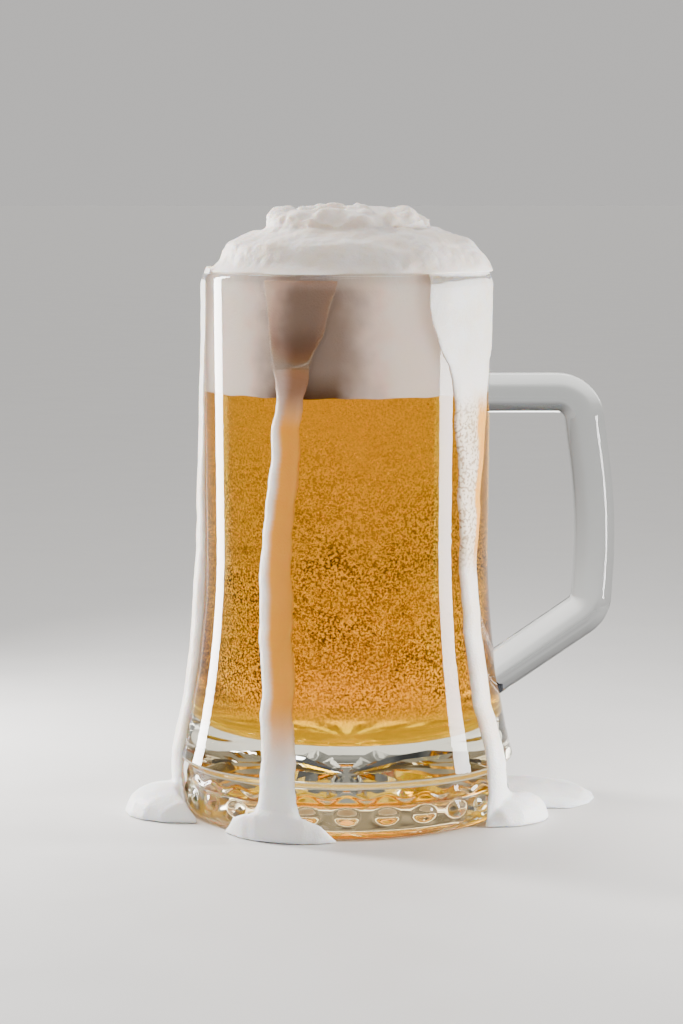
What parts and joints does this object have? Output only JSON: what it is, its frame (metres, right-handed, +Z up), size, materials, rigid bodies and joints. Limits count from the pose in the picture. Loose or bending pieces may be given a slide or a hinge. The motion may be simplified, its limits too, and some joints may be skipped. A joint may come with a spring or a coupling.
{
  "type": "pint of beer",
  "caption": "Handled glass mug filled with pale beer, with a domed foam head that has run over the rim and down the outside into small pools.",
  "frame": {"origin": "centre of the mug's foot, on the surface it stands on", "axes": "+Z up along the mug's axis, +X towards the handle, -Y towards the front"},
  "size_m": [0.1449, 0.101, 0.1802],
  "materials": {
    "glass": "clear polished pressed glass",
    "beer": "clear golden liquid with rising bubbles",
    "foam": "soft off-white foam"
  },
  "bodies": {
    "root": {"glass_mug": "glass", "beer": "beer", "foam_head": "foam", "foam_run_front": "foam", "foam_run_left": "foam", "foam_run_right": "foam", "foam_pool_back": "foam"}
  },
  "joints": []
}
